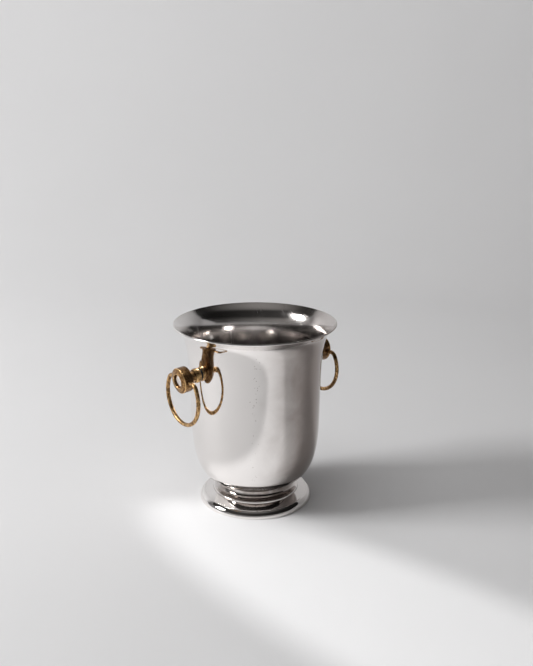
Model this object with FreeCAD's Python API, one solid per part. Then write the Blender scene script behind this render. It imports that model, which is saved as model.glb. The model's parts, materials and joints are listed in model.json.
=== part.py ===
"""Small silver champagne bucket: a spun bowl on a stepped foot, with two hanging brass ring handles.

Millimetres. +Z is up, the origin is the centre of the foot's underside, and the handles stand out along +X
(right) and -X (left).
"""
import FreeCAD, Part
import math
import os

V = FreeCAD.Vector
CENTRE = V(0, 0, 0)
ALONG_X = V(1, 0, 0)
ALONG_Y = V(0, 1, 0)
ALONG_Z = V(0, 0, 1)

# --- Bowl: one spun shell with a rounded bottom, a nearly straight wall and a flared lip.
WALL = 1.3
RIM_RADIUS = 66.0
RIM_HEIGHT = 152.0
LIP_SLOPE = 45.0            # degrees between the lip and the horizontal
SEAT_RADIUS = 27.0          # flat underside that stands on the foot
SEAT_HEIGHT = 17.2
# Outer face between the flat underside and the lip, as (radius, height).
BOWL_OUTLINE = [(34.0, 18.9), (40.2, 22.4), (45.0, 28.2), (48.6, 36.0), (51.4, 48.0), (52.8, 64.0), (53.3, 86.0),
                (54.2, 114.0), (55.3, 129.0), (57.6, 140.0), (61.0, 146.5)]

# --- Foot: neck ring, stepped hollow shell and a heavy rounded rim.
NECK_RADIUS = 28.4
NECK_TOP = 15.4
NECK_BEAD = 1.0             # how far the neck ring's bead stands out from the neck
NECK_RING_BORE = 22.0
SHELL = 1.0                 # thickness of the foot shell
SHELL_BORE = 18.0           # opening in the shell's top
COVE = 4.6                  # radius of the hollow curve under the neck
STEP_RADIUS = 35.5
STEP_ROUND = 0.6
STEP_TOP = NECK_TOP - SHELL - COVE
STEP_DROP = 1.4
FLANGE_RADIUS = 42.6        # where the shell's flange meets the foot rim
FLANGE_HEIGHT = 6.2
FOOT_RADIUS = 46.9
FOOT_RIM_BORE = 39.6
FOOT_CONTACT_RADIUS = 46.4  # outer edge of the face that touches the table
CROWN_RADIUS = 43.3         # where the rim's top rounds over
BELLY_TOP = 0.7             # upright stretch of the rim's side
BELLY_FOOT = 0.5
BORE_CHAMFER = 1.0

# --- Handles: each is a stack on one bolt through the wall. s is the distance outwards from the pivot.
PIVOT_RADIUS = 69.5
PIVOT_HEIGHT = 116.8
DROOP = 5.0                 # degrees that a handle's bolt points down, square to the flaring wall
DRUM_RADIUS = 10.1
DRUM_BACK = -4.4
DRUM_EDGE = 3.3             # front edge of the drum's round side
DRUM_FRONT = 4.6
DRUM_FACE_RADIUS = 6.4
DRUM_CHAMFER = 0.6
RECESS_RADIUS = 5.4
RECESS_FLOOR = 2.2
STEM_FOOT = -14.5           # where the stem meets the gasket
COLLAR_RADIUS = 5.85
COLLAR_WIDTH = 4.4
WAIST_RADIUS = 4.6          # at the waist's two ends
WAIST_HOLLOW = 0.8
GASKET_RADIUS = 5.3
BORE_RADIUS = 1.9           # clearance hole for the bolt
BOLT_RADIUS = 1.75
BOLT_HEAD_RADIUS = 4.5
BOLT_HEAD_EDGE = 0.9
BOLT_HEAD_DOME = 0.7
SEAL_RADIUS = 5.6
SEAL_FACE = -18.1
WASHER_RADIUS = 4.6
WASHER_FACE = -18.9
NUT_FLATS = 6.0
NUT_FACE = -22.0
NUT_DOME = 2.2
NUT_THREAD_RADIUS = 1.78
NUT_THREAD_END = -22.8
BOLT_END = -22.5

# --- Rings: round wire bent to an open circle, its two ends turned in to pivot in the drum.
WIRE_RADIUS = 1.65
RING_RADIUS = 22.3          # of the wire's centre line
RING_DROP = 13.8            # from the pivot down to the circle's centre
RING_CORNER = 5.0           # bend between the circle and the turned-in end
PIN_TIP = 6.6               # distance of each end from the drum's axis
PIN_HOLE_END = 6.2
PIN_CLEARANCE = 0.05


def xz(radius, height):
    return V(radius, 0, height)


def line(a, b):
    return Part.LineSegment(a, b).toShape()


def arc(a, middle, b):
    return Part.Arc(a, middle, b).toShape()


def polyline(points):
    return [line(a, b) for a, b in zip(points[:-1], points[1:])]


def spun(edges, axis=ALONG_Z):
    """Solid of revolution of a closed outline in the XZ plane."""
    face = Part.Face(Part.Wire(Part.__sortEdges__(edges)))
    return face.revolve(CENTRE, axis, 360)


def on_circle(centre, radius, degrees):
    a = math.radians(degrees)
    return centre + xz(radius * math.cos(a), radius * math.sin(a))


def round_edge(centre, radius, start, end):
    """Arc in the XZ plane between two directions, in degrees."""
    points = [on_circle(centre, radius, d) for d in (start, (start + end) / 2, end)]
    return arc(*points)


def rounded(side, end):
    """Arc from a point where the outline is upright to another point, as (radius, height) vectors."""
    across = side.x - end.x
    up = end.z - side.z
    radius = (across ** 2 + up ** 2) / (2 * across)
    turn = math.degrees(math.asin(up / radius))
    return round_edge(side - xz(radius, 0), radius, 0, turn)


def cap(base, radius, height, way):
    """Section of a spherical cap on the X axis, from its edge to its top."""
    sphere = (radius ** 2 + height ** 2) / (2 * height)
    half = math.asin(radius / sphere) / 2
    rise = height - sphere + sphere * math.cos(half)
    return arc(xz(base, radius), xz(base + way * rise, sphere * math.sin(half)), xz(base + way * height, 0))


def bowl_curves():
    """The bowl's outer and inner faces in section, and the rounded lip that joins them."""
    slope = math.radians(LIP_SLOPE)
    lip = WALL / 2
    lip_centre = xz(RIM_RADIUS - lip, RIM_HEIGHT - lip)
    across = xz(-math.sin(slope), math.cos(slope))
    top = lip_centre - across * lip
    outer = Part.BSplineCurve()
    points = [xz(SEAT_RADIUS, SEAT_HEIGHT)] + [xz(r, z) for r, z in BOWL_OUTLINE] + [top]
    outer.interpolate(points, InitialTangent=xz(1, 0), FinalTangent=xz(math.cos(slope), math.sin(slope)))
    offset = []
    for point in points:
        tangent = outer.tangent(outer.parameter(point))[0]
        offset.append(point + xz(-tangent.z, tangent.x) * WALL)
    inner = Part.BSplineCurve()
    inner.interpolate(offset, InitialTangent=xz(1, 0), FinalTangent=xz(math.cos(slope), math.sin(slope)))
    lip_edge = arc(top, lip_centre + xz(math.cos(slope), math.sin(slope)) * lip, offset[-1])
    return outer.toShape(), inner.toShape(), lip_edge


def make_bowl():
    outer, inner, lip_edge = bowl_curves()
    under = line(xz(0, SEAT_HEIGHT), xz(SEAT_RADIUS, SEAT_HEIGHT))
    floor = line(xz(0, SEAT_HEIGHT + WALL), xz(SEAT_RADIUS, SEAT_HEIGHT + WALL))
    centre = line(xz(0, SEAT_HEIGHT), xz(0, SEAT_HEIGHT + WALL))
    return spun([outer, inner, lip_edge, under, floor, centre])


def make_filled(curve, bottom):
    """Everything inside one face of the bowl, as a solid."""
    end = curve.Vertexes[-1].Point
    closing = polyline([end, xz(0, end.z), xz(0, bottom), xz(SEAT_RADIUS, bottom)])
    return spun([curve] + closing)


def make_neck_ring():
    middle = (NECK_TOP + SEAT_HEIGHT) / 2
    bead = arc(xz(NECK_RADIUS, NECK_TOP), xz(NECK_RADIUS + NECK_BEAD, middle), xz(NECK_RADIUS, SEAT_HEIGHT))
    inside = polyline([xz(NECK_RADIUS, SEAT_HEIGHT), xz(NECK_RING_BORE, SEAT_HEIGHT), xz(NECK_RING_BORE, NECK_TOP),
                       xz(NECK_RADIUS, NECK_TOP)])
    return spun([bead] + inside)


def make_foot_shell():
    cove_centre = xz(NECK_RADIUS + COVE, NECK_TOP - SHELL)
    shoulder = xz(STEP_RADIUS - STEP_ROUND, STEP_TOP - STEP_ROUND)
    inner_step = STEP_RADIUS - SHELL
    outside = [
        line(xz(SHELL_BORE, NECK_TOP), xz(NECK_RADIUS, NECK_TOP)),
        line(xz(NECK_RADIUS, NECK_TOP), xz(NECK_RADIUS, cove_centre.z)),
        round_edge(cove_centre, COVE, 180, 270),
        line(xz(cove_centre.x, STEP_TOP), xz(shoulder.x, STEP_TOP)),
        round_edge(shoulder, STEP_ROUND, 90, 0),
        line(xz(STEP_RADIUS, shoulder.z), xz(STEP_RADIUS, STEP_TOP - STEP_DROP)),
        line(xz(STEP_RADIUS, STEP_TOP - STEP_DROP), xz(FLANGE_RADIUS, FLANGE_HEIGHT)),
        line(xz(FLANGE_RADIUS, FLANGE_HEIGHT), xz(FLANGE_RADIUS, FLANGE_HEIGHT - SHELL)),
    ]
    inside = [
        line(xz(FLANGE_RADIUS, FLANGE_HEIGHT - SHELL), xz(inner_step, flange_underside(inner_step))),
        line(xz(inner_step, flange_underside(inner_step)), xz(inner_step, STEP_TOP - SHELL)),
        line(xz(inner_step, STEP_TOP - SHELL), xz(cove_centre.x, STEP_TOP - SHELL)),
        round_edge(cove_centre, COVE + SHELL, 270, 180),
        line(xz(NECK_RADIUS - SHELL, cove_centre.z), xz(SHELL_BORE, cove_centre.z)),
        line(xz(SHELL_BORE, cove_centre.z), xz(SHELL_BORE, NECK_TOP)),
    ]
    return spun(outside + inside)


def flange_underside(radius):
    """Height of the flange's lower face, which falls evenly from the step to the foot rim."""
    fall = (STEP_TOP - STEP_DROP - FLANGE_HEIGHT) / (FLANGE_RADIUS - STEP_RADIUS)
    return FLANGE_HEIGHT - SHELL + fall * (FLANGE_RADIUS - radius)


def make_foot_rim():
    """Rounded ring with a rebate that the shell's flange sits in."""
    crown = xz(CROWN_RADIUS, FLANGE_HEIGHT)
    belly_top = xz(FOOT_RADIUS, BELLY_TOP)
    belly_foot = xz(FOOT_RADIUS, BELLY_FOOT)
    contact = xz(FOOT_CONTACT_RADIUS, 0)
    ledge = xz(FOOT_RIM_BORE, flange_underside(FOOT_RIM_BORE))
    edges = [
        line(xz(FLANGE_RADIUS, FLANGE_HEIGHT), crown),
        rounded(belly_top, crown),
        line(belly_top, belly_foot),
        rounded(belly_foot, contact),
    ]
    edges += polyline([contact, xz(FOOT_RIM_BORE + BORE_CHAMFER, 0), xz(FOOT_RIM_BORE, BORE_CHAMFER), ledge,
                       xz(FLANGE_RADIUS, FLANGE_HEIGHT - SHELL), xz(FLANGE_RADIUS, FLANGE_HEIGHT)])
    return spun(edges)


def along(radius, start, end):
    """Cylinder about the handle's bolt axis."""
    return Part.makeCylinder(radius, end - start, V(start, 0, 0), ALONG_X)


def placed(shape):
    """A handle piece, tilted square to the wall and moved to the right-hand pivot."""
    shape.rotate(CENTRE, ALONG_Y, DROOP)
    shape.translate(V(PIVOT_RADIUS, 0, PIVOT_HEIGHT))
    return shape


def make_drum():
    back_edge = DRUM_BACK + DRUM_CHAMFER
    outline = [(DRUM_BACK, BORE_RADIUS), (DRUM_BACK, DRUM_RADIUS - DRUM_CHAMFER), (back_edge, DRUM_RADIUS),
               (DRUM_EDGE, DRUM_RADIUS), (DRUM_FRONT, DRUM_FACE_RADIUS), (DRUM_FRONT, RECESS_RADIUS),
               (RECESS_FLOOR, RECESS_RADIUS), (RECESS_FLOOR, BORE_RADIUS), (DRUM_BACK, BORE_RADIUS)]
    drum = spun(polyline([xz(s, r) for s, r in outline]), ALONG_X)
    for way in (1, -1):
        start = V(0, way * PIN_HOLE_END, 0)
        hole = Part.makeCylinder(WIRE_RADIUS + PIN_CLEARANCE, DRUM_RADIUS, start, V(0, way, 0))
        drum = drum.cut(hole)
    return placed(drum)


def make_stem():
    """Turned spacer: a rounded collar against the wall, then a waist that flares to the drum."""
    collar_end = STEM_FOOT + COLLAR_WIDTH
    collar = arc(xz(STEM_FOOT, GASKET_RADIUS), xz((STEM_FOOT + collar_end) / 2, COLLAR_RADIUS),
                 xz(collar_end, GASKET_RADIUS))
    waist = arc(xz(collar_end, WAIST_RADIUS), xz((collar_end + DRUM_BACK) / 2, WAIST_RADIUS - WAIST_HOLLOW),
                xz(DRUM_BACK, WAIST_RADIUS))
    rest = [line(xz(collar_end, GASKET_RADIUS), xz(collar_end, WAIST_RADIUS))]
    rest += polyline([xz(DRUM_BACK, WAIST_RADIUS), xz(DRUM_BACK, BORE_RADIUS), xz(STEM_FOOT, BORE_RADIUS),
                      xz(STEM_FOOT, GASKET_RADIUS)])
    return placed(spun([collar, waist] + rest, ALONG_X))


def make_bolt():
    """Plain shank with a low domed head, which lies in the drum's recess."""
    head_edge = RECESS_FLOOR + BOLT_HEAD_EDGE
    head_top = head_edge + BOLT_HEAD_DOME
    dome = cap(head_edge, BOLT_HEAD_RADIUS, BOLT_HEAD_DOME, 1)
    rest = polyline([xz(head_top, 0), xz(BOLT_END, 0), xz(BOLT_END, BOLT_RADIUS), xz(RECESS_FLOOR, BOLT_RADIUS),
                     xz(RECESS_FLOOR, BOLT_HEAD_RADIUS), xz(head_edge, BOLT_HEAD_RADIUS)])
    return placed(spun([dome] + rest, ALONG_X))


def make_wall_gasket(bowl_outside):
    """Thin washer whose back is shaped to the bowl's round wall."""
    gasket = along(GASKET_RADIUS, STEM_FOOT - 2, STEM_FOOT).cut(along(BORE_RADIUS, STEM_FOOT - 2, STEM_FOOT))
    return placed(gasket).cut(bowl_outside)


def make_seal(bowl_inside):
    """Soft washer that keeps melted ice off the bolt hole, shaped to the inside of the wall."""
    reach = STEM_FOOT - 1
    seal = along(SEAL_RADIUS, SEAL_FACE, reach).cut(along(BORE_RADIUS, SEAL_FACE, reach))
    return placed(seal).common(bowl_inside)


def make_washer():
    ring = along(WASHER_RADIUS, WASHER_FACE, SEAL_FACE).cut(along(BORE_RADIUS, WASHER_FACE, SEAL_FACE))
    return placed(ring)


def make_dome_nut():
    corner = NUT_FLATS / math.sqrt(3)
    corners = []
    for k in range(7):
        a = math.radians(60 * k)
        corners.append(V(NUT_FACE, corner * math.sin(a), corner * math.cos(a)))
    hexagon = Part.Face(Part.makePolygon(corners)).extrude(V(WASHER_FACE - NUT_FACE, 0, 0))
    base = NUT_FLATS / 2 - 0.2
    dome = cap(NUT_FACE, base, NUT_DOME, -1)
    closing = polyline([xz(NUT_FACE - NUT_DOME, 0), xz(WASHER_FACE, 0), xz(WASHER_FACE, base), xz(NUT_FACE, base)])
    nut = hexagon.fuse(spun([dome] + closing, ALONG_X)).removeSplitter()
    return placed(nut.cut(along(NUT_THREAD_RADIUS, NUT_THREAD_END, WASHER_FACE)))


def make_ring():
    """The ring hangs straight down from its pivot, in the plane across the handle."""
    reach = math.sqrt((RING_RADIUS - RING_CORNER) ** 2 - (RING_DROP - RING_CORNER) ** 2)
    scale = RING_RADIUS / (RING_RADIUS - RING_CORNER)
    join = V(0, reach * scale, -RING_DROP + (RING_DROP - RING_CORNER) * scale)
    turn = math.atan2(RING_DROP - RING_CORNER, reach)
    half = (math.pi / 2 + turn) / 2
    bend = V(0, reach + RING_CORNER * math.cos(half), -RING_CORNER + RING_CORNER * math.sin(half))

    def mirrored(p):
        return V(p.x, -p.y, p.z)

    tip = V(0, PIN_TIP, 0)
    pin_end = V(0, reach, 0)
    path = Part.Wire([
        line(tip, pin_end),
        arc(pin_end, bend, join),
        arc(join, V(0, 0, -RING_DROP - RING_RADIUS), mirrored(join)),
        arc(mirrored(join), mirrored(bend), mirrored(pin_end)),
        line(mirrored(pin_end), mirrored(tip)),
    ])
    section = Part.Wire(Part.makeCircle(WIRE_RADIUS, tip, ALONG_Y))
    ring = path.makePipeShell([section], True, True)
    ring.translate(V(PIVOT_RADIUS, 0, PIVOT_HEIGHT))
    return ring


def left_copy(shape):
    copy = shape.copy()
    copy.rotate(CENTRE, ALONG_Z, 180)
    return copy


def build():
    outer, inner, _ = bowl_curves()
    bowl_outside = make_filled(outer, SEAT_HEIGHT)
    bowl_inside = make_filled(inner, SEAT_HEIGHT + WALL)
    handle = {
        "handle_drum": make_drum(),
        "handle_stem": make_stem(),
        "handle_bolt": make_bolt(),
        "wall_gasket": make_wall_gasket(bowl_outside),
        "inner_seal": make_seal(bowl_inside),
        "inner_washer": make_washer(),
        "dome_nut": make_dome_nut(),
        "ring": make_ring(),
    }
    bowl = make_bowl()
    bolt_hole = placed(along(BORE_RADIUS, SEAL_FACE, STEM_FOOT))
    nodes = {
        "bowl": bowl.cut(bolt_hole).cut(left_copy(bolt_hole)),
        "neck_ring": make_neck_ring(),
        "foot_shell": make_foot_shell(),
        "foot_rim": make_foot_rim(),
    }
    for name, shape in handle.items():
        nodes["right_" + name] = shape
        nodes["left_" + name] = left_copy(shape)
    return nodes


os.makedirs("parts", exist_ok=True)
for name, shape in build().items():
    shape.exportStep("parts/%s.step" % name)
    box = shape.BoundBox
    print("%-20s %d solid, valid %s, %8.1f mm3, z %.1f to %.1f" % (
        name, len(shape.Solids), shape.isValid(), shape.Volume, box.ZMin, box.ZMax))
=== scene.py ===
"""Looks of a small silver champagne bucket with hanging brass ring handles, in metres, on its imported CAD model."""
import json
import math

import bmesh
import bpy
import numpy as np
from mathutils import Matrix, Vector, noise


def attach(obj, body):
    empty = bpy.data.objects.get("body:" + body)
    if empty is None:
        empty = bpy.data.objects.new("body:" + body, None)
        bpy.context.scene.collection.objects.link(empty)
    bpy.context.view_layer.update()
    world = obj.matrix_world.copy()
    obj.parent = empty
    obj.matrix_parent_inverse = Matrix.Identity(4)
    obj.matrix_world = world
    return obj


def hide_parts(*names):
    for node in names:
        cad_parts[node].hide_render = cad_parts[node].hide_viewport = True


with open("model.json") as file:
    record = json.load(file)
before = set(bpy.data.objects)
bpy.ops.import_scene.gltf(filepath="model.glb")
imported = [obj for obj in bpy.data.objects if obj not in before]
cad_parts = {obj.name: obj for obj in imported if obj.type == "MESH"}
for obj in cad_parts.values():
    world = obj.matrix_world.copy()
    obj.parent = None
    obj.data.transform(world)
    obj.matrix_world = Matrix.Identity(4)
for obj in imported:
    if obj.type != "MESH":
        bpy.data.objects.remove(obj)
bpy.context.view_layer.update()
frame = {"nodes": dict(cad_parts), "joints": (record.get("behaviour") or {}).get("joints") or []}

MM = 0.001

# --- Bowl, in mm: the same spun shell as the CAD model's.
WALL = 1.3
RIM_RADIUS = 66.0
RIM_HEIGHT = 152.0
LIP_SLOPE = 45.0
SEAT_RADIUS = 27.0
SEAT_HEIGHT = 17.2
BOWL_OUTLINE = [(34.0, 18.9), (40.2, 22.4), (45.0, 28.2), (48.6, 36.0), (51.4, 48.0), (52.8, 64.0), (53.3, 86.0),
                (54.2, 114.0), (55.3, 129.0), (57.6, 140.0), (61.0, 146.5)]
BOWL_SEGMENTS = 320
SPAN_STEPS = 14             # sections in each span of the bowl's outline
LIP_STEPS = 12
WAVE = 0.035                # how far the hand-finished wall strays from a true surface
WAVE_LENGTH = 34.0
WAVE_TOP = 149.0
WAVE_FOOT = 20.0
WAVE_FADE = 14.0

# --- Foot, in mm.
NECK_RADIUS = 28.4
NECK_TOP = 15.4
NECK_BEAD = 1.0
NECK_RING_BORE = 22.0
SHELL = 1.0
SHELL_BORE = 18.0
COVE = 4.6
STEP_RADIUS = 35.5
STEP_TOP = NECK_TOP - SHELL - COVE
STEP_DROP = 1.4
FLANGE_RADIUS = 42.6
FLANGE_HEIGHT = 6.2
FOOT_RADIUS = 46.9
FOOT_RIM_BORE = 39.6
FOOT_CONTACT_RADIUS = 46.4
CROWN_RADIUS = 43.3
BELLY_TOP = 0.7
BELLY_FOOT = 0.5
FOOT_SEGMENTS = 288

# --- Handles, in mm: each is a stack on one bolt, measured outwards from the pivot.
DROOP = 5.0
DRUM_RADIUS = 10.1
DRUM_BACK = -4.4
DRUM_EDGE = 3.3
DRUM_FRONT = 4.6
DRUM_FACE_RADIUS = 6.4
RECESS_RADIUS = 5.4
RECESS_FLOOR = 2.2
STEM_FOOT = -14.5
COLLAR_RADIUS = 5.85
COLLAR_WIDTH = 4.4
WAIST_RADIUS = 4.6
WAIST_HOLLOW = 0.8
GASKET_RADIUS = 5.3
BORE_RADIUS = 1.9
BOLT_RADIUS = 1.75
BOLT_HEAD_RADIUS = 4.5
BOLT_HEAD_EDGE = 0.9
BOLT_HEAD_DOME = 0.7
SEAL_FACE = -18.1
WASHER_RADIUS = 4.6
WASHER_FACE = -18.9
NUT_FLATS = 6.0
NUT_FACE = -22.0
NUT_DOME = 2.2
BOLT_END = -22.5
TURNED_SEGMENTS = 96

# --- Rings, in mm.
WIRE_RADIUS = 1.65
RING_RADIUS = 22.3
RING_DROP = 13.8
RING_CORNER = 5.0
PIN_TIP = 6.6
PIN_NOSE = 0.4
PIN_HOLE_END = 6.2
PIN_CLEARANCE = 0.05
TRUE_REACH = 12.0           # the wire keeps its true shape this far from the middle, where it turns in the drum
DENT = 0.055
DENT_FADE = 4.0
WIRE_SEGMENTS = 40
PIN_STEPS = 8
CORNER_STEPS = 12
ROUND_STEPS = 90

# --- Colours of the silver and the brass.
CLEAN_SILVER = (0.86, 0.833, 0.815)
# painted shade for the bowl's side away from the window, and the colour of its tarnishing patches
SHADE_AND_TARNISH_SILVER = (0.35, 0.303, 0.28)
SPECK_BROWN = (0.24, 0.19, 0.16)
# painted shade: brown for the silver's inner corners and round its neck
PAINTED_SHADE_BROWN = (0.15, 0.105, 0.08)
BRASS_SKIN = (0.13, 0.067, 0.027), (0.41, 0.23, 0.093)
BRASS_METAL = (0.82, 0.50, 0.21), (0.95, 0.66, 0.33)
BRASS_SHADE = (0.07, 0.04, 0.022)
BRASS_PIT = (0.06, 0.035, 0.018)
# painted shade for the brass's inner corners
BRASS_CORNER_SHADE = (0.04, 0.024, 0.014)

# --- Camera and studio, in metres. x is to the right of the picture, y away from the camera, z up.
STUDIO_TURN = -37.0         # degrees from the studio's axes to the object's
CAMERA_PLACE = (0.00925, -0.661, 0.331)
CAMERA_TILT = 15.92         # degrees below level
LENS = 45.95

# --- Floor and its backdrop, in mm.
FLOOR_FLAT = 700.0
SWEEP_RADIUS = 500.0
WALL_TOP = 640.0
BACKDROP_RISE = 750.0       # how much higher the backdrop stands behind the object
FARTHEST = 2.1              # how many times farther off the wall stands on the camera's side than behind the object
FLOOR_SEGMENTS = 120


# ---------------------------------------------------------------- outlines

def rounded(corners, closed=False, steps=5):
    """Outline through (a, b, radius) corners, each rounded to its radius."""
    points = []
    count = len(corners)
    for i, (x, y, radius) in enumerate(corners):
        at = Vector((x, y))
        if radius == 0 or (not closed and i in (0, count - 1)):
            points.append((x, y))
            continue
        back = Vector(corners[i - 1][:2]) - at
        on = Vector(corners[(i + 1) % count][:2]) - at
        half = back.angle(on) / 2
        radius = min(radius, 0.45 * min(back.length, on.length) * math.tan(half))
        centre = at + (back.normalized() + on.normalized()).normalized() * (radius / math.sin(half))
        start = at + back.normalized() * (radius / math.tan(half)) - centre
        end = at + on.normalized() * (radius / math.tan(half)) - centre
        turn = math.atan2(start.x * end.y - start.y * end.x, start.dot(end))
        for k in range(steps + 1):
            spoke = Matrix.Rotation(turn * k / steps, 2) @ start
            points.append(tuple(centre + spoke))
    return points


def arc(centre, radius, start, end, steps=16):
    """Unrounded corners along an arc between two directions, in degrees."""
    corners = []
    for k in range(steps + 1):
        a = math.radians(start + (end - start) * k / steps)
        corners.append((centre[0] + radius * math.cos(a), centre[1] + radius * math.sin(a), 0))
    return corners


def bulge(a, b, height, steps=14):
    """Unrounded corners on the arc from a to b that stands out by height to the left of the way from a to b."""
    a, b = Vector(a), Vector(b)
    half = (b - a).length / 2
    radius = (half ** 2 + height ** 2) / (2 * abs(height))
    side = Vector((a.y - b.y, b.x - a.x)).normalized() * math.copysign(1, height)
    centre = (a + b) / 2 + side * (abs(height) - radius)
    start = a - centre
    end = b - centre
    turn = math.atan2(start.x * end.y - start.y * end.x, start.dot(end))
    return [(*(centre + Matrix.Rotation(turn * k / steps, 2) @ start), 0) for k in range(steps + 1)]


def belly(side, end, steps=12):
    """Unrounded corners from a point where the outline is upright to another point, on one arc."""
    across = side[0] - end[0]
    up = end[1] - side[1]
    radius = (across ** 2 + up ** 2) / (2 * across)
    turn = math.degrees(math.asin(up / radius))
    return arc((side[0] - radius, side[1]), radius, 0, turn, steps)


def divided(outline, longest, closed=False):
    """The outline with no stretch longer than this."""
    points = []
    ends = outline[1:] + outline[:1] if closed else outline[1:]
    for a, b in zip(outline, ends):
        parts = max(1, math.ceil(math.dist(a, b) / longest))
        for k in range(parts):
            points.append((a[0] + (b[0] - a[0]) * k / parts, a[1] + (b[1] - a[1]) * k / parts))
    if not closed:
        points.append(outline[-1])
    return points


def clamped_spline(points, first, last, steps):
    """Points on, and unit tangents of, the cubic spline through points with set directions at its two ends."""
    p = np.array(points, float)
    h = np.linalg.norm(np.diff(p, axis=0), axis=1)
    n = len(p)
    left = np.zeros((n, n))
    right = np.zeros((n, 2))
    left[0, 0] = left[-1, -1] = 1
    right[0] = first
    right[-1] = last
    for i in range(1, n - 1):
        left[i, i - 1:i + 2] = h[i], 2 * (h[i - 1] + h[i]), h[i - 1]
        right[i] = 3 * (h[i] / h[i - 1] * (p[i] - p[i - 1]) + h[i - 1] / h[i] * (p[i + 1] - p[i]))
    slope = np.linalg.solve(left, right)
    at = []
    along = []
    for i in range(n - 1):
        for t in np.linspace(0, 1, steps, endpoint=False):
            at.append((1 + 2 * t) * (1 - t) ** 2 * p[i] + t * (1 - t) ** 2 * h[i] * slope[i]
                      + t * t * (3 - 2 * t) * p[i + 1] + t * t * (t - 1) * h[i] * slope[i + 1])
            along.append(6 * t * (t - 1) * (p[i] - p[i + 1]) / h[i] + (1 - t) * (1 - 3 * t) * slope[i]
                         + t * (3 * t - 2) * slope[i + 1])
    at.append(p[-1])
    along.append(slope[-1])
    along = np.array(along)
    return np.array(at), along / np.linalg.norm(along, axis=1)[:, None]


# ---------------------------------------------------------------- meshes

# Its value gives rubbed bright edges above 0, and places painted shade in inner corners below 0.
def edge_wear_and_shade(outline, closed):
    """How sharply the outline turns at each point: 1 on an outer edge, -1 in an inner corner, 0 where it is flat."""
    p = np.array(outline)
    before = np.roll(p, 1, axis=0)
    after = np.roll(p, -1, axis=0)
    if not closed:
        before[0] = p[0]
        after[-1] = p[-1]
    a = p - before
    b = after - p
    turn = np.arctan2(a[:, 0] * b[:, 1] - a[:, 1] * b[:, 0], (a * b).sum(1))
    length = np.maximum((np.linalg.norm(a, axis=1) + np.linalg.norm(b, axis=1)) / 2, 0.02)
    area = 0.5 * np.sum(p[:, 0] * after[:, 1] - p[:, 1] * after[:, 0])
    wear_and_shade = np.clip(np.sign(area) * turn / length / 1.5, -1, 1)
    return wear_and_shade if closed else np.where((p[:, 0] == 0), 0, wear_and_shade)


def lathe(name, outline, segments, closed=False, limit=None):
    """Surface of revolution about Z of an outline of (radius, height) points in mm. An open outline starts and ends on
    the axis. limit(angle) is the most that a radius may be, for a piece with flats."""
    verts = []
    wear_and_shade = []
    rings = []
    for (radius, height), worn_and_shaded in zip(outline, edge_wear_and_shade(outline, closed)):
        if radius < 1e-6:
            rings.append([len(verts)])
            verts.append((0, 0, height * MM))
            wear_and_shade.append(worn_and_shaded)
            continue
        rings.append(list(range(len(verts), len(verts) + segments)))
        for k in range(segments):
            angle = 2 * math.pi * k / segments
            r = min(radius, limit(angle)) if limit else radius
            verts.append((r * math.cos(angle) * MM, r * math.sin(angle) * MM, height * MM))
            wear_and_shade.append(worn_and_shaded)
    faces = []
    ends = rings[1:] + rings[:1] if closed else rings[1:]
    for a, b in zip(rings, ends):
        for k in range(segments):
            n = (k + 1) % segments
            if len(a) == 1 and len(b) > 1:
                faces.append((a[0], b[n], b[k]))
            elif len(b) == 1 and len(a) > 1:
                faces.append((a[k], a[n], b[0]))
            elif len(a) > 1:
                faces.append((a[k], a[n], b[n], b[k]))
    return mesh_object(name, verts, faces, wear_and_shade)


def mesh_object(name, verts, faces, wear_and_shade=None):
    mesh = bpy.data.meshes.new(name)
    mesh.from_pydata(verts, [], faces)
    if wear_and_shade is not None:
        attribute = mesh.attributes.new("wear_and_shade", "FLOAT", "POINT")
        attribute.data.foreach_set("value", np.array(wear_and_shade, np.float32))
    bm = bmesh.new()
    bm.from_mesh(mesh)
    bmesh.ops.recalc_face_normals(bm, faces=bm.faces)
    for face in bm.faces:
        face.smooth = True
    bm.to_mesh(mesh)
    bm.free()
    made = bpy.data.objects.new(name, mesh)
    bpy.context.scene.collection.objects.link(made)
    return made


def drilled(piece, cutters):
    """Cuts the cutters' shapes out of a piece, and removes them."""
    for cutter in cutters:
        hole = piece.modifiers.new("hole", "BOOLEAN")
        hole.operation = "DIFFERENCE"
        hole.solver = "EXACT"
        hole.object = cutter
    bpy.context.view_layer.update()
    evaluated = piece.evaluated_get(bpy.context.evaluated_depsgraph_get())
    mesh = bpy.data.meshes.new_from_object(evaluated)
    piece.modifiers.clear()
    piece.data = mesh
    for cutter in cutters:
        bpy.data.objects.remove(cutter)
    return piece


def finished(piece, body, nodes, materials):
    """Settles a piece: shading, materials, body, and the CAD nodes it stands for."""
    piece.data.set_sharp_from_angle(angle=math.radians(38))
    weighted = piece.modifiers.new("even shading", "WEIGHTED_NORMAL")
    weighted.keep_sharp = True
    weighted.weight = 60
    piece.data.materials.clear()
    for material in materials:
        piece.data.materials.append(material)
    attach(piece, body)
    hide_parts(*nodes)
    return piece


# ---------------------------------------------------------------- materials

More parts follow.
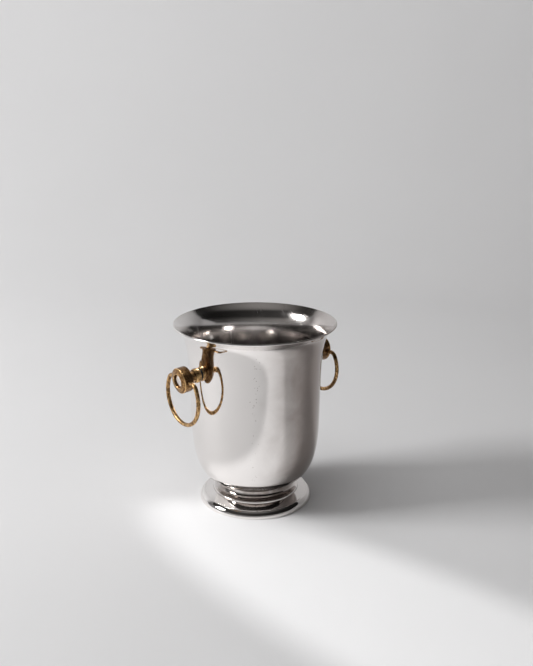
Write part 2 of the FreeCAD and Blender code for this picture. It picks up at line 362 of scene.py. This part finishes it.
class Shader:
    """A material's node tree, with short calls to add to it. Lengths in it are metres."""

    def __init__(self, name):
        self.material = bpy.data.materials.new(name)
        self.material.use_nodes = True
        self.tree = self.material.node_tree
        self.tree.nodes.clear()

    def add(self, kind, **inputs):
        node = self.tree.nodes.new(kind)
        for key, value in inputs.items():
            self.put(node.inputs[key.replace("_", " ")], value)
        return node

    def put(self, socket, value):
        if isinstance(value, bpy.types.NodeSocket):
            self.tree.links.new(value, socket)
        else:
            socket.default_value = value

    def math(self, operation, a, b=0.0):
        node = self.tree.nodes.new("ShaderNodeMath")
        node.operation = operation
        self.put(node.inputs[0], a)
        self.put(node.inputs[1], b)
        return node.outputs[0]

    def span(self, value, low, high, to_low=0.0, to_high=1.0):
        """value's stretch from low to high, carried over to another stretch and held at its ends."""
        node = self.tree.nodes.new("ShaderNodeMapRange")
        node.interpolation_type = "SMOOTHSTEP"
        for socket, x in zip(node.inputs, (value, low, high, to_low, to_high)):
            self.put(socket, x)
        return node.outputs[0]

    def mix(self, share, a, b):
        """Colour a, turning to colour b as share goes from 0 to 1."""
        node = self.tree.nodes.new("ShaderNodeMix")
        node.data_type = "RGBA"
        for index, x in ((0, share), (6, a), (7, b)):
            self.put(node.inputs[index], (*x, 1) if isinstance(x, tuple) else x)
        return node.outputs[2]

    def place(self, seed=0.0, scale=(1, 1, 1), turn=(0, 0, 0)):
        """Object coordinates, moved by a seed, turned and scaled."""
        coordinates = self.tree.nodes.new("ShaderNodeTexCoord")
        node = self.tree.nodes.new("ShaderNodeMapping")
        self.put(node.inputs["Vector"], coordinates.outputs["Object"])
        node.inputs["Location"].default_value = (seed, 0.7 * seed, 0.4 * seed)
        node.inputs["Rotation"].default_value = turn
        node.inputs["Scale"].default_value = scale
        return node.outputs[0]

    def noise(self, place, scale, detail=3.0, rough=0.5, bend=0.0):
        node = self.add("ShaderNodeTexNoise", Vector=place, Scale=scale, Detail=detail, Roughness=rough,
                        Distortion=bend)
        return node.outputs[0]

    # the outline's turn: rubbed edges where above 0, painted shade in inner corners where below 0
    def wear_and_shade(self):
        node = self.tree.nodes.new("ShaderNodeAttribute")
        node.attribute_name = "wear_and_shade"
        return node.outputs["Fac"]

    def around(self, pitch, seed):
        """Noise that runs in lines round the Z axis, a pitch apart."""
        coordinates = self.tree.nodes.new("ShaderNodeTexCoord")
        split = self.add("ShaderNodeSeparateXYZ", Vector=coordinates.outputs["Object"])
        x, y, z = split.outputs
        radius = self.math("SQRT", self.math("ADD", self.math("MULTIPLY", x, x), self.math("MULTIPLY", y, y)))
        safe = self.math("MAXIMUM", radius, 1e-5)
        along = self.math("DIVIDE", self.math("ADD", z, radius), pitch)
        lines = self.add("ShaderNodeCombineXYZ", X=self.math("MULTIPLY", self.math("DIVIDE", x, safe), 2.2),
                         Y=self.math("MULTIPLY", self.math("DIVIDE", y, safe), 2.2),
                         Z=self.math("ADD", along, seed))
        return self.noise(lines.outputs[0], 1.0, 2.0)

    def scratches(self, seed):
        """Fine hairlines in three directions, 1 on a line and 0 elsewhere."""
        total = 0.0
        for k, turn in enumerate(((0.3, 0.9, 0.2), (1.2, -0.5, 0.8), (-0.7, 0.4, -1.1))):
            place = self.place(seed + 3.1 * k, (2600, 45, 30), turn)
            line = self.span(self.noise(place, 1.0, 1.0), 0.735, 0.77)
            total = self.math("ADD", total, line)
        return self.math("MINIMUM", total, 1.0)

    def surface(self, colour, rough, height, depth, metallic=1.0):
        """Ends the tree with the surface itself. height is 0 to 1 over a depth in metres."""
        bump = self.add("ShaderNodeBump", Height=height, Distance=depth, Strength=1.0)
        shader = self.add("ShaderNodeBsdfPrincipled", Metallic=metallic, Roughness=rough,
                          Normal=bump.outputs[0])
        self.put(shader.inputs["Base Color"], (*colour, 1) if isinstance(colour, tuple) else colour)
        out = self.tree.nodes.new("ShaderNodeOutputMaterial")
        self.tree.links.new(shader.outputs[0], out.inputs[0])
        return self.material


def silver(name, seed, smooth, hazy, shade_and_tarnish_amount, lines, depth):
    """Silver plate: warm white and mirror-like, with hazy patches, polishing lines, hairlines, a trail of specks down
    one side, tarnishing in random patches, painted shade that darkens the side away from the window, and painted shade
    in brown in inner corners and round the neck. smooth and hazy are the roughness of its best and worst patches, the
    next argument how far the painted shade and the tarnishing go, lines the pitch of its polish lines and depth how
    deep its surface marks are."""
    s = Shader(name)
    patches = s.noise(s.place(seed), 38.0, 4.0, 0.55, 0.4)
    clouds = s.noise(s.place(seed + 5), 140.0, 3.0)
    polish = s.around(lines, seed)
    hair = s.scratches(seed)
    split = s.add("ShaderNodeSeparateXYZ", Vector=s.place(0.0, turn=(0, 0, math.radians(-STUDIO_TURN))))
    right, away, up = split.outputs
    radius = s.math("SQRT", s.math("ADD", s.math("MULTIPLY", right, right), s.math("MULTIPLY", away, away)))

    # sparse specks, gathered in a trail down the front
    cells = s.add("ShaderNodeTexVoronoi", Vector=s.place(seed + 9), Scale=420.0, Randomness=1.0).outputs["Distance"]
    bend = s.math("MULTIPLY", s.math("SUBTRACT", s.noise(s.place(seed + 1), 22.0, 1.0), 0.5), 0.012)
    off = s.math("ABSOLUTE", s.math("ADD", s.math("SUBTRACT", right, 0.002), bend))
    trail = s.math("MULTIPLY", s.span(off, 0.001, 0.006, 1.0, 0.0), s.span(away, -0.02, 0.0, 1.0, 0.0))
    scattered = s.span(s.noise(s.place(seed + 3), 60.0, 2.0), 0.55, 0.75, 0.0, 0.13)
    size = s.math("ADD", s.math("MULTIPLY", trail, 0.17), scattered)
    speck = s.span(s.math("SUBTRACT", size, cells), 0.0, 0.06)

    # painted shade: brown in inner corners and round the neck, and darker on the side away from the window;
    # the latter mixed with tarnishing in random patches
    # painted shade in inner corners
    corner = s.span(s.math("ADD", s.math("MULTIPLY", s.wear_and_shade(), -1.0), s.math("MULTIPLY", clouds, 0.25)), 0.25, 0.9)
    # painted shade round the neck, under the bowl
    neck = s.math("MULTIPLY", s.span(radius, 0.029, 0.036, 1.0, 0.0), s.span(up, 0.019, 0.021, 1.0, 0.0))
    brown = s.math("MAXIMUM", corner, s.math("MULTIPLY", neck, s.span(clouds, 0.25, 0.6, 0.45, 0.85)))
    # painted shade towards the studio's right, away from the window, mixed with random patches of tarnishing
    shade_and_tarnish = s.math("ADD", s.math("MULTIPLY", right, 19.0), s.math("MULTIPLY", patches, 0.5))
    shade_and_tarnish = s.math("MULTIPLY", s.span(shade_and_tarnish, 0.2, 1.1), shade_and_tarnish_amount)
    plate = s.mix(shade_and_tarnish, CLEAN_SILVER, SHADE_AND_TARNISH_SILVER)
    marked = s.mix(s.math("MULTIPLY", speck, 0.7), plate, SPECK_BROWN)
    # mixes in the painted shade of the corners and the neck
    colour = s.mix(s.math("MULTIPLY", brown, 0.85), marked, PAINTED_SHADE_BROWN)

    rough = s.span(patches, 0.3, 0.72, smooth, hazy)
    rough = s.math("ADD", rough, s.math("MULTIPLY", hair, 0.12))
    rough = s.math("ADD", rough, s.math("MULTIPLY", s.math("MAXIMUM", corner, speck), 0.2))
    height = s.math("ADD", s.math("MULTIPLY", polish, 0.55), s.math("MULTIPLY", clouds, 0.35))
    height = s.math("SUBTRACT", height, s.math("MULTIPLY", s.math("MAXIMUM", hair, speck), 0.4))
    return s.surface(colour, rough, height, depth)


def brass(name, seed, shine, painted_back_shade=False):
    """Old brass with a brown skin, rubbed bright on its edges and high places, and painted shade in its inner corners.
    shine is how much of it is rubbed. With the last argument set, painted shade makes it darker, with less bright
    metal, towards the bucket, where its back is in shadow."""
    s = Shader(name)
    blotches = s.noise(s.place(seed), 420.0, 5.0, 0.66, 0.8)
    grain = s.noise(s.place(seed + 4), 1700.0, 4.0, 0.62)
    pits = s.add("ShaderNodeTexVoronoi", Vector=s.place(seed + 8), Scale=900.0, Randomness=1.0).outputs["Distance"]
    pit = s.span(pits, 0.1, 0.28, 1.0, 0.0)
    tooling = s.around(0.00022, seed)
    worn_and_shaded = s.wear_and_shade()
    rub_and_back_shade = s.math("ADD", s.math("MULTIPLY", worn_and_shaded, 0.42), blotches)
    rub_and_back_shade = s.span(s.math("ADD", rub_and_back_shade, s.math("MULTIPLY", grain, 0.4)), 0.78 - shine, 1.2 - shine)
    # painted shade: less bright metal towards the bucket
    if painted_back_shade:
        out = s.add("ShaderNodeSeparateXYZ", Vector=s.place()).outputs[2]
        rub_and_back_shade = s.math("MULTIPLY", rub_and_back_shade, s.span(out, -0.005, 0.004, 0.25, 1.0))
    skin = s.mix(s.span(blotches, 0.38, 0.62), *BRASS_SKIN)
    # painted shade: the skin turns to the shade colour towards the bucket
    if painted_back_shade:
        skin = s.mix(s.span(out, 0.003, -0.004, 0.0, 0.6), skin, BRASS_SHADE)
    metal = s.mix(s.span(grain, 0.3, 0.7), *BRASS_METAL)
    colour = s.mix(rub_and_back_shade, skin, metal)
    colour = s.mix(s.math("MULTIPLY", pit, 0.6), colour, BRASS_PIT)
    # painted shade in inner corners
    colour = s.mix(s.span(worn_and_shaded, -0.2, -0.9, 0.0, 0.85), colour, BRASS_CORNER_SHADE)
    rough = s.math("SUBTRACT", s.span(grain, 0.3, 0.7, 0.28, 0.42), s.math("MULTIPLY", rub_and_back_shade, 0.06))
    height = s.math("ADD", s.math("MULTIPLY", grain, 0.6), s.math("MULTIPLY", tooling, 0.3))
    height = s.math("ADD", height, s.math("MULTIPLY", blotches, 0.35))
    height = s.math("SUBTRACT", height, s.math("MULTIPLY", pit, 0.35))
    return s.surface(colour, rough, height, 0.00004)


def plated(name, seed, colour, dark, rough):
    """Turned metal with circular tool lines: bolt heads, washers and nuts."""
    s = Shader(name)
    tooling = s.around(0.00018, seed)
    clouds = s.noise(s.place(seed), 520.0, 4.0, 0.6)
    hair = s.scratches(seed)
    tone = s.mix(s.span(clouds, 0.4, 0.75), colour, dark)
    # painted shade: inner corners darkened nearly to black
    tone = s.mix(s.span(s.wear_and_shade(), -0.2, -0.9, 0.0, 0.8), tone, (0.07, 0.055, 0.045))
    scale = s.span(clouds, 0.3, 0.75, rough, rough + 0.14)
    scale = s.math("ADD", scale, s.math("MULTIPLY", hair, 0.15))
    height = s.math("ADD", s.math("MULTIPLY", tooling, 0.6), s.math("MULTIPLY", clouds, 0.4))
    return s.surface(tone, scale, height, 0.000012)


def rubber(name):
    """Black rubber, matt, with a fine moulded grain and a grey bloom."""
    s = Shader(name)
    bloom = s.noise(s.place(2.0), 400.0, 4.0, 0.6)
    grain = s.noise(s.place(6.0), 3500.0, 3.0)
    colour = s.mix(s.span(bloom, 0.35, 0.75), (0.018, 0.017, 0.016), (0.055, 0.052, 0.048))
    rough = s.span(grain, 0.3, 0.7, 0.55, 0.78)
    return s.surface(colour, rough, grain, 0.00004, metallic=0.0)


def paper(name):
    """Plain pale floor: smooth matt paper with a barely visible tooth."""
    s = Shader(name)
    tooth = s.noise(s.place(1.0), 900.0, 4.0, 0.6)
    clouds = s.noise(s.place(3.0), 3.0, 3.0)
    colour = s.mix(s.span(clouds, 0.3, 0.7), (0.80, 0.797, 0.802), (0.787, 0.784, 0.789))
    return s.surface(colour, s.span(tooth, 0.3, 0.7, 0.7, 0.8), tooth, 0.0001, metallic=0.0)


silver_outside = silver("silver_outside", 0.0, 0.03, 0.075, 1.0, 0.0016, 0.0000016)
silver_inside = silver("silver_inside", 11.0, 0.1, 0.2, 0.5, 0.0009, 0.000004)
silver_foot = silver("silver_foot", 23.0, 0.02, 0.05, 0.25, 0.0011, 0.0000008)
rubber_black = rubber("rubber_black")
steel = plated("steel_turned", 31.0, (0.62, 0.61, 0.6), (0.42, 0.41, 0.4), 0.22)


# ---------------------------------------------------------------- bowl and foot

def make_bowl():
    slope = math.radians(LIP_SLOPE)
    lip = WALL / 2
    tangent = np.array((math.cos(slope), math.sin(slope)))
    across = np.array((-tangent[1], tangent[0]))
    lip_centre = np.array((RIM_RADIUS - lip, RIM_HEIGHT - lip))
    points = [(SEAT_RADIUS, SEAT_HEIGHT)] + BOWL_OUTLINE + [tuple(lip_centre - across * lip)]
    outer, along = clamped_spline(points, (1, 0), tangent, SPAN_STEPS)
    inner = outer + np.column_stack((-along[:, 1], along[:, 0])) * WALL
    flat = [SEAT_RADIUS * k / 12 for k in range(12)]
    under = [(r, SEAT_HEIGHT) for r in flat]
    floor = [(r, SEAT_HEIGHT + WALL) for r in reversed(flat)]
    lip_edge = [p[:2] for p in arc(lip_centre, lip, LIP_SLOPE - 90, LIP_SLOPE + 90, LIP_STEPS)][1:-1]
    outline = under + [tuple(p) for p in outer] + lip_edge + [tuple(p) for p in inner[::-1]] + floor
    bowl = lathe("silver_bowl", outline, BOWL_SEGMENTS)
    for vert in bowl.data.vertices:
        radius = math.hypot(vert.co.x, vert.co.y)
        height = vert.co.z / MM
        below_lip = min(max((WAVE_TOP - height) / WAVE_FADE, 0), 1)
        above_foot = min(max((height - WAVE_FOOT) / WAVE_FADE, 0), 1)
        share = below_lip * above_foot
        if share > 0:
            spot = Vector((vert.co.x / radius, vert.co.y / radius, 0)) * (SEAT_RADIUS * 2)
            spot.z = height
            push = WAVE * MM * share * noise.noise(spot / WAVE_LENGTH)
            vert.co.x *= 1 + push / radius
            vert.co.y *= 1 + push / radius
    bowl.data.update()
    return bowl


def make_neck_ring():
    bead = bulge((NECK_RADIUS, NECK_TOP), (NECK_RADIUS, SEAT_HEIGHT), -NECK_BEAD)
    bore = [(NECK_RING_BORE, SEAT_HEIGHT, 0.2), (NECK_RING_BORE, NECK_TOP, 0.2)]
    return lathe("silver_neck_ring", divided(rounded(bead + bore, True), 0.6, True), FOOT_SEGMENTS, True)


def make_foot_shell():
    cove = (NECK_RADIUS + COVE, NECK_TOP - SHELL)
    fall = (STEP_TOP - STEP_DROP - FLANGE_HEIGHT) / (FLANGE_RADIUS - STEP_RADIUS)
    inner_step = STEP_RADIUS - SHELL
    corners = [(SHELL_BORE, NECK_TOP, 0.1), (NECK_RADIUS, NECK_TOP, 0.25)]
    corners += arc(cove, COVE, 180, 270)
    corners += [(STEP_RADIUS, STEP_TOP, 0.6), (STEP_RADIUS, STEP_TOP - STEP_DROP, 0.3),
                (FLANGE_RADIUS, FLANGE_HEIGHT, 0.12), (FLANGE_RADIUS, FLANGE_HEIGHT - SHELL, 0.12),
                (inner_step, FLANGE_HEIGHT - SHELL + fall * (FLANGE_RADIUS - inner_step), 0.3),
                (inner_step, STEP_TOP - SHELL, 0.3)]
    corners += arc(cove, COVE + SHELL, 270, 180)
    corners += [(SHELL_BORE, cove[1], 0.1)]
    return lathe("silver_foot_shell", divided(rounded(corners, True), 0.7, True), FOOT_SEGMENTS, True)


def make_foot_rim():
    crown = (CROWN_RADIUS, FLANGE_HEIGHT)
    fall = (STEP_TOP - STEP_DROP - FLANGE_HEIGHT) / (FLANGE_RADIUS - STEP_RADIUS)
    ledge = FLANGE_HEIGHT - SHELL + fall * (FLANGE_RADIUS - FOOT_RIM_BORE)
    corners = [(FLANGE_RADIUS, FLANGE_HEIGHT, 0.12)]
    corners += belly((FOOT_RADIUS, BELLY_TOP), crown)[::-1]
    corners += belly((FOOT_RADIUS, BELLY_FOOT), (FOOT_CONTACT_RADIUS, 0))
    corners += [(FOOT_RIM_BORE + 1, 0, 0.2), (FOOT_RIM_BORE, 1, 0.2), (FOOT_RIM_BORE, ledge, 0.2),
                (FLANGE_RADIUS, FLANGE_HEIGHT - SHELL, 0.1)]
    return lathe("silver_foot_rim", divided(rounded(corners, True), 0.6, True), FOOT_SEGMENTS, True)


# ---------------------------------------------------------------- handles

def turned(name, corners, closed=True, limit=None, longest=0.35):
    """Piece turned about the bolt's axis. Corners are (distance outwards, radius, rounding)."""
    outline = rounded([(radius, s, soft) for s, radius, soft in corners], closed)
    return lathe(name, divided(outline, longest, closed), TURNED_SEGMENTS, closed, limit)


def cap_rise(radius, height, share):
    """Height of a spherical cap at a share of its radius."""
    sphere = (radius ** 2 + height ** 2) / (2 * height)
    return height - sphere + math.sqrt(sphere ** 2 - (radius * share) ** 2)


def make_drum(name):
    drum = turned(name, [
        (DRUM_BACK, BORE_RADIUS, 0.1), (DRUM_BACK, DRUM_RADIUS - 0.6, 0.3), (DRUM_BACK + 0.6, DRUM_RADIUS, 0.3),
        (DRUM_EDGE, DRUM_RADIUS, 0.45), (DRUM_FRONT, DRUM_FACE_RADIUS, 0.4), (DRUM_FRONT, RECESS_RADIUS, 0.25),
        (RECESS_FLOOR, RECESS_RADIUS, 0.2), (RECESS_FLOOR, BORE_RADIUS, 0.1)])
    hole = WIRE_RADIUS + PIN_CLEARANCE
    cutters = []
    for side in (1, -1):
        outline = [(0, PIN_HOLE_END), (hole, PIN_HOLE_END), (hole, DRUM_RADIUS - 0.45),
                   (hole + 0.35, DRUM_RADIUS + 0.1), (hole + 0.35, DRUM_RADIUS + 2), (0, DRUM_RADIUS + 2)]
        cutter = lathe("cutter", outline, 48)
        # the pivot is level, and the drum tilts with the bolt
        cutter.matrix_world = Matrix.Rotation(math.radians(-90 * side), 4, "X")
        cutters.append(cutter)
    return drilled(drum, cutters)


def make_stem(name):
    collar_end = STEM_FOOT + COLLAR_WIDTH
    collar = bulge((STEM_FOOT, GASKET_RADIUS), (collar_end, GASKET_RADIUS), COLLAR_RADIUS - GASKET_RADIUS)
    waist = bulge((collar_end, WAIST_RADIUS), (DRUM_BACK, WAIST_RADIUS), -WAIST_HOLLOW)
    return turned(name, collar + waist + [(DRUM_BACK, BORE_RADIUS, 0.1), (STEM_FOOT, BORE_RADIUS, 0.1)])


def make_bolt(name):
    edge = RECESS_FLOOR + BOLT_HEAD_EDGE
    shares = [k / 12 for k in range(13)]
    dome = [(edge + cap_rise(BOLT_HEAD_RADIUS, BOLT_HEAD_DOME, k), BOLT_HEAD_RADIUS * k, 0) for k in shares[:-1]]
    return turned(name, dome + [(edge, BOLT_HEAD_RADIUS, 0.22), (RECESS_FLOOR, BOLT_HEAD_RADIUS, 0.15),
                                (RECESS_FLOOR, BOLT_RADIUS, 0.1), (BOLT_END, BOLT_RADIUS, 0.3),
                                (BOLT_END, 0, 0)], closed=False)


def make_washer(name):
    return turned(name, [(SEAL_FACE, BORE_RADIUS, 0.12), (SEAL_FACE, WASHER_RADIUS, 0.2),
                         (WASHER_FACE, WASHER_RADIUS, 0.2), (WASHER_FACE, BORE_RADIUS, 0.12)])


def make_nut(name):
    corner = NUT_FLATS / math.sqrt(3)
    base = NUT_FLATS / 2 - 0.2
    flat = math.pi / 3
    dome = [(NUT_FACE - cap_rise(base, NUT_DOME, k / 14), base * k / 14, 0) for k in range(15)]
    corners = dome + [(NUT_FACE, NUT_FLATS / 2 - 0.05, 0), (NUT_FACE + 0.35, corner, 0),
                      (WASHER_FACE - 0.25, corner, 0), (WASHER_FACE, NUT_FLATS / 2 + 0.1, 0),
                      (WASHER_FACE, 0, 0)]
    return turned(name, corners, closed=False,
                  limit=lambda angle: NUT_FLATS / 2 / math.cos((angle + flat / 2) % flat - flat / 2))


def make_ring(name, seed):
    """Bent wire in the YZ plane round the pivot at the origin, its two ends turned in to the drum."""
    reach = math.sqrt((RING_RADIUS - RING_CORNER) ** 2 - (RING_DROP - RING_CORNER) ** 2)
    bend = math.pi / 2 - math.atan2(RING_DROP - RING_CORNER, reach)

    # stations down the wire's +Y half: y, z, the angle of the ring's outer side, and the wire's radius
    half = [(PIN_TIP, 0, math.pi / 2, WIRE_RADIUS - PIN_NOSE), (PIN_TIP + PIN_NOSE, 0, math.pi / 2, WIRE_RADIUS)]
    for k in range(1, PIN_STEPS):
        half.append((PIN_TIP + (reach - PIN_TIP) * k / PIN_STEPS, 0, math.pi / 2, WIRE_RADIUS))
    for k in range(CORNER_STEPS):
        turn = bend * k / CORNER_STEPS
        half.append((reach + RING_CORNER * math.sin(turn), -RING_CORNER + RING_CORNER * math.cos(turn),
                     math.pi / 2 - turn, WIRE_RADIUS))
    for k in range(ROUND_STEPS + 1):
        turn = math.pi / 2 - bend + (bend - math.pi) * k / ROUND_STEPS
        half.append((RING_RADIUS * math.cos(turn), -RING_DROP + RING_RADIUS * math.sin(turn), turn, WIRE_RADIUS))
    stations = half + [(-y, z, math.pi - turn, radius) for y, z, turn, radius in reversed(half[:-1])]

    verts = []
    for y, z, turn, radius in stations:
        spot = Vector((0, y, z))
        out = Vector((0, math.cos(turn), math.sin(turn)))
        free = min(max((abs(y) - TRUE_REACH) / DENT_FADE, -z / DENT_FADE, 0), 1)
        for k in range(WIRE_SEGMENTS):
            angle = 2 * math.pi * k / WIRE_SEGMENTS
            spoke = out * math.cos(angle) + Vector((1, 0, 0)) * math.sin(angle)
            skin = spot + spoke * radius
            dent = DENT * free * (0.5 + noise.noise(skin / 5.5 + Vector((seed, 0, 0)))
                                  + 0.45 * noise.noise(skin / 1.7 + Vector((seed, 3, 0))))
            verts.append((spot + spoke * (radius - max(dent, 0))) * MM)
    faces = []
    rows = len(stations)
    for i in range(rows - 1):
        for k in range(WIRE_SEGMENTS):
            n = (k + 1) % WIRE_SEGMENTS
            a = i * WIRE_SEGMENTS
            b = a + WIRE_SEGMENTS
            faces.append((a + k, a + n, b + n, b + k))
    faces.append(tuple(range(WIRE_SEGMENTS)))
    faces.append(tuple(range((rows - 1) * WIRE_SEGMENTS, rows * WIRE_SEGMENTS)))
    return mesh_object(name, verts, faces)


def line_inside(bowl):
    """Gives the second material to the faces that look up from the bottom or in from the wall."""
    for face in bowl.data.polygons:
        radius = math.hypot(face.center.x, face.center.y)
        if radius < SEAT_RADIUS * MM:
            facing = face.normal.z
        else:
            facing = -(face.normal.x * face.center.x + face.normal.y * face.center.y)
        face.material_index = 1 if facing > 0 else 0


line_inside(finished(make_bowl(), "bucket", ["bowl"], [silver_outside, silver_inside]))
finished(make_neck_ring(), "bucket", ["neck_ring"], [silver_foot])
finished(make_foot_shell(), "bucket", ["foot_shell"], [silver_foot])
finished(make_foot_rim(), "bucket", ["foot_rim"], [silver_foot])

pivots = {joint["child"]: Vector(joint["pos_m"]) for joint in frame["joints"]}
for count, side in enumerate(("left", "right")):
    turn = Matrix.Rotation(math.pi, 4, "Z") if side == "left" else Matrix.Identity(4)
    move = Matrix.Translation(pivots[side + "_ring"])
    bolt_axis = move @ turn @ Matrix.Rotation(math.radians(90 + DROOP), 4, "Y")
    seed = 40.0 + 7 * count
    drum_brass = brass(side + "_drum_brass", seed, 0.1, painted_back_shade=True)
    stem_brass = brass(side + "_stem_brass", seed + 2, 0.2)
    ring_brass = brass(side + "_ring_brass", seed + 4, 0.2)
    head_plate = plated(side + "_bolt_plate", seed + 5, (0.80, 0.76, 0.72), (0.55, 0.48, 0.42), 0.2)
    pieces = [
        (make_drum(side + "_drum"), "handle_drum", "brass", drum_brass),
        (make_stem(side + "_stem"), "handle_stem", "brass", stem_brass),
        (make_bolt(side + "_bolt"), "handle_bolt", "bolt", head_plate),
        (make_washer(side + "_washer"), "inner_washer", "steel", steel),
        (make_nut(side + "_nut"), "dome_nut", "steel", steel),
    ]
    for piece, node, slot, material in pieces:
        piece.matrix_world = bolt_axis
        finished(piece, "bucket", [side + "_" + node], [material])
    ring = make_ring(side + "_ring_wire", seed)
    ring.matrix_world = move @ turn
    finished(ring, side + "_ring", [side + "_ring"], [ring_brass])
    for node in ("wall_gasket", "inner_seal"):
        soft = frame["nodes"][side + "_" + node]
        soft.data.materials.clear()
        soft.data.materials.append(rubber_black)


# ---------------------------------------------------------------- studio

studio = Matrix.Rotation(math.radians(STUDIO_TURN), 4, "Z")


def make_floor():
    """Pale floor that sweeps up into a high, nearly straight backdrop behind the object, and into a lower round one
    farther off on the camera's side."""
    flat = [(FLOOR_FLAT * k / 7, 0) for k in range(8)]
    sweep = [p[:2] for p in arc((FLOOR_FLAT, SWEEP_RADIUS), SWEEP_RADIUS, -90, 0, 32)][1:]
    outline = flat + sweep + [(FLOOR_FLAT + SWEEP_RADIUS, WALL_TOP)]
    verts = [(0, 0, 0)]
    for radius, height in outline[1:]:
        for k in range(FLOOR_SEGMENTS):
            angle = 2 * math.pi * k / FLOOR_SEGMENTS
            off = abs((angle - math.pi / 2 + math.pi) % (2 * math.pi) - math.pi)
            reach = radius * min(max(math.cos(off), 0.01) ** -0.5, FARTHEST)
            back = min(max((math.radians(110) - off) / math.radians(40), 0), 1)
            rise = height + (BACKDROP_RISE * back if height == WALL_TOP else 0)
            verts.append(studio @ (Vector((reach * math.cos(angle), reach * math.sin(angle), rise)) * MM))
    faces = [(0, 1 + k, 1 + (k + 1) % FLOOR_SEGMENTS) for k in range(FLOOR_SEGMENTS)]
    for i in range(len(outline) - 2):
        a = 1 + i * FLOOR_SEGMENTS
        b = a + FLOOR_SEGMENTS
        for k in range(FLOOR_SEGMENTS):
            n = (k + 1) % FLOOR_SEGMENTS
            faces.append((a + k, b + k, b + n, a + n))
    mesh = bpy.data.meshes.new("floor")
    mesh.from_pydata(verts, [], faces)
    for face in mesh.polygons:
        face.use_smooth = True
    floor = bpy.data.objects.new("floor", mesh)
    bpy.context.scene.collection.objects.link(floor)
    floor.data.materials.append(paper("paper"))


def area_light(name, place, target, size, power, spread=180.0, mirrored=False):
    """Soft light at a place in the studio that faces a target. Only a mirrored one is seen in the silver."""
    data = bpy.data.lights.new(name, "AREA")
    data.shape = "RECTANGLE"
    data.size, data.size_y = size
    data.energy = power
    data.spread = math.radians(spread)
    light = bpy.data.objects.new(name, data)
    bpy.context.scene.collection.objects.link(light)
    turn = (Vector(target) - Vector(place)).to_track_quat("-Z", "Y").to_matrix().to_4x4()
    light.matrix_world = studio @ Matrix.Translation(place) @ turn
    light.visible_camera = False
    light.visible_glossy = mirrored


def beam(name, centre, halves, heading, way, distance, power):
    """Narrow spotlight that falls on the floor in an ellipse with these half lengths, the first of them at heading
    degrees from the studio's x axis. way is the direction back to the light."""
    way = Vector(way).normalized()
    turn = (-way).to_track_quat("-Z", "Y").to_matrix()
    along = Vector((math.cos(math.radians(heading)), math.sin(math.radians(heading)), 0)) * halves[0]
    aside = Vector((-math.sin(math.radians(heading)), math.cos(math.radians(heading)), 0)) * halves[1]
    across = np.array([(turn.transposed() @ v)[:2] for v in (along, aside)])
    squares, axes = np.linalg.eigh(across.T @ across)
    wide, narrow = np.sqrt(squares[::-1])
    roll = math.atan2(axes[1, 1], axes[0, 1])
    data = bpy.data.lights.new(name, "SPOT")
    data.energy = power
    data.spot_size = 2 * math.atan(wide / distance)
    data.spot_blend = 0.3
    data.shadow_soft_size = 0.012
    light = bpy.data.objects.new(name, data)
    bpy.context.scene.collection.objects.link(light)
    light.matrix_world = (studio @ Matrix.Translation(Vector(centre) + way * distance) @ turn.to_4x4()
                          @ Matrix.Rotation(roll, 4, "Z") @ Matrix.Diagonal((1, narrow / wide, 1, 1)))
    light.visible_glossy = False


def make_world():
    """Soft grey room: light up to a little above the horizon, dark over that, light again straight overhead, and
    dimmer away from the window."""
    world = bpy.data.worlds.new("studio")
    bpy.context.scene.world = world
    world.use_nodes = True
    tree = world.node_tree
    tree.nodes.clear()
    coordinates = tree.nodes.new("ShaderNodeTexCoord")
    turn = tree.nodes.new("ShaderNodeMapping")
    turn.inputs["Rotation"].default_value = (0, 0, math.radians(-STUDIO_TURN))
    tree.links.new(coordinates.outputs["Generated"], turn.inputs["Vector"])
    split = tree.nodes.new("ShaderNodeSeparateXYZ")
    tree.links.new(turn.outputs[0], split.inputs[0])
    up = tree.nodes.new("ShaderNodeValToRGB")
    tree.links.new(split.outputs["Z"], up.inputs[0])
    for at, tone in ((0.0, 0.3), (0.3, 0.25), (0.4, 0.05), (0.8, 0.05), (1.0, 0.4)):
        stop = up.color_ramp.elements.new(at) if 0 < at < 1 else up.color_ramp.elements[0 if at == 0 else -1]
        stop.color = (tone, 0.96 * tone, 0.93 * tone, 1)
    across = tree.nodes.new("ShaderNodeMapRange")
    tree.links.new(split.outputs["X"], across.inputs["Value"])
    for key, x in (("From Min", -0.8), ("From Max", 0.8), ("To Min", 0.9), ("To Max", 0.15)):
        across.inputs[key].default_value = x
    background = tree.nodes.new("ShaderNodeBackground")
    tree.links.new(up.outputs[0], background.inputs["Color"])
    tree.links.new(across.outputs[0], background.inputs["Strength"])
    out = tree.nodes.new("ShaderNodeOutputWorld")
    tree.links.new(background.outputs[0], out.inputs[0])


def make_camera():
    data = bpy.data.cameras.new("camera")
    data.lens = LENS
    data.clip_start = 0.01
    data.clip_end = 20
    camera = bpy.data.objects.new("camera", data)
    bpy.context.scene.collection.objects.link(camera)
    tilt = Matrix.Rotation(math.radians(90 - CAMERA_TILT), 4, "X")
    camera.matrix_world = studio @ Matrix.Translation(CAMERA_PLACE) @ tilt
    bpy.context.scene.camera = camera


make_floor()
make_world()
make_camera()
area_light("window", (-1.5, -0.2, 0.96), (0, 0, 0.05), (0.5, 0.5), 22.6, mirrored=True)
area_light("overhead", (-0.35, -0.25, 1.45), (-0.25, -0.25, 0), (1.2, 1.2), 6.8)
area_light("backdrop", (-0.15, 0.35, 1.3), (-0.05, 1.15, 0.4), (1.0, 0.3), 0.6, spread=110)
beam("streak", (0.128, -0.212, 0), (0.335, 0.073), -42.5, (-1.4, -0.19, 0.9), 2.0, 96)
bpy.context.scene.view_settings.view_transform = "Standard"
